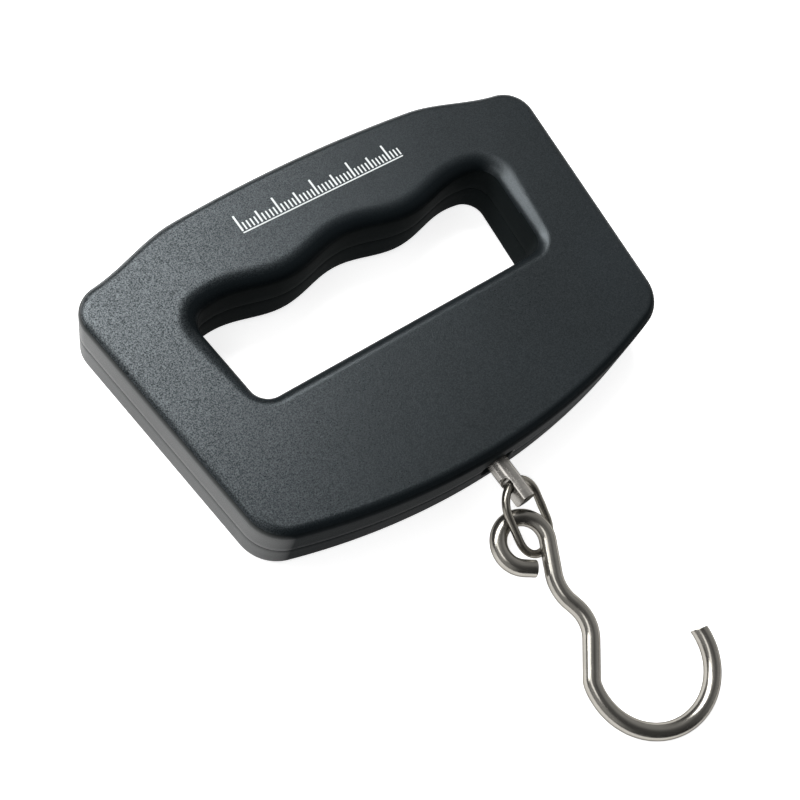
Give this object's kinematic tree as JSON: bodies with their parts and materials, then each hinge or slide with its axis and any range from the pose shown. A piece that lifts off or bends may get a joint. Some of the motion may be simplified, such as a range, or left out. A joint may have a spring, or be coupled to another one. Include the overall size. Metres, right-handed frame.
{
  "type": "digital luggage scale",
  "caption": "Hand-held luggage scale: black two-shell housing with a wavy hand opening, display on the grip's edge, and a swivel stem, wire link and hook below.",
  "frame": {"origin": "on the flat rear face, on the stem's centre plane, 16.9 mm above the lowest point of the bottom edge", "axes": "+Z out of the front face, +Y from the hook end to the top of the grip, +X to the right seen from the front; the scale lies on its rear face"},
  "size_m": [0.1212, 0.15, 0.0185],
  "materials": {
    "abs_front": "fine spark-eroded grain",
    "abs_rear": "fine spark-eroded grain",
    "panel_gloss": "polished",
    "lens": "clear",
    "lcd": "satin polariser",
    "backlight": "diffuse white",
    "connector_rubber": "matte",
    "pcb": "solder mask",
    "chip": "epoxy",
    "switch": "stamped",
    "button": "satin",
    "cell_sleeve": "shrink sleeve",
    "contact_nickel": "nickel plate",
    "bar_aluminium": "milled",
    "gauge": "polyimide foil",
    "bracket_steel": "stamped",
    "zinc": "zinc plate",
    "stem_steel": "turned and polished",
    "link_steel": "nickel plate",
    "hook_nickel": "nickel plate",
    "lead_grey": "satin PVC",
    "lead_red": "satin PVC"
  },
  "bodies": {
    "housing": {"front_housing": "abs_front", "rear_housing": "abs_rear", "top_panel": "panel_gloss", "display_lens": "lens", "lcd_module": "lcd", "lcd_backlight": "backlight", "lcd_connector": "connector_rubber", "main_pcb": "pcb", "controller_chip": "chip", "tact_switch_power": "switch", "tact_switch_unit": "switch", "battery_cell_1": "cell_sleeve", "battery_cell_2": "cell_sleeve", "battery_spring_1": "contact_nickel", "battery_spring_2": "contact_nickel", "battery_bridge": "contact_nickel", "battery_contact_positive": "contact_nickel", "battery_contact_negative": "contact_nickel", "load_cell": "bar_aluminium", "strain_gauge_upper": "gauge", "strain_gauge_lower": "gauge", "load_cell_bracket": "bracket_steel", "load_cell_bolt_1": "zinc", "load_cell_bolt_2": "zinc", "bracket_screw_1": "zinc", "bracket_screw_2": "zinc", "stem_washer": "zinc", "housing_screw_1": "zinc", "housing_screw_2": "zinc", "housing_screw_3": "zinc", "housing_screw_4": "zinc", "housing_screw_5": "zinc", "housing_screw_6": "zinc", "cable_load_cell": "lead_grey", "cable_battery": "lead_red"},
    "stem": {"hanger_stem": "stem_steel"},
    "link": {"hook_link": "link_steel"},
    "hook": {"hook": "hook_nickel"},
    "power_button": {"button_power": "button"},
    "unit_button": {"button_unit": "button"},
    "door": {"battery_door": "abs_rear"}
  },
  "joints": [
    {"name": "stem_swivel", "type": "hinge", "parent": "housing", "child": "stem", "pos_m": [0, -0.0223, 0.0089], "axis": [0, -1, 0], "continuous": true},
    {"name": "link_swing", "type": "hinge", "parent": "stem", "child": "link", "pos_m": [0, -0.0223, 0.0089], "axis": [0.9483, 0, -0.3173], "range_deg": [-112, 58]},
    {"name": "hook_swing", "type": "hinge", "parent": "link", "child": "hook", "pos_m": [-0.00436, -0.03366, 0.00462], "axis": [-0.0593, -0.0529, 0.9968], "range_deg": [-11, 33]},
    {"name": "power_press", "type": "slide", "parent": "housing", "child": "power_button", "axis": [0, -1, 0], "range_m": [0, 0.0006], "stiffness_N_per_m": 400},
    {"name": "unit_press", "type": "slide", "parent": "housing", "child": "unit_button", "axis": [0, -1, 0], "range_m": [0, 0.0006], "stiffness_N_per_m": 400},
    {"name": "door_open", "type": "hinge", "parent": "housing", "child": "door", "pos_m": [0.0505, 0.005, 0], "axis": [0, -1, 0], "range_deg": [0, 75]}
  ]
}
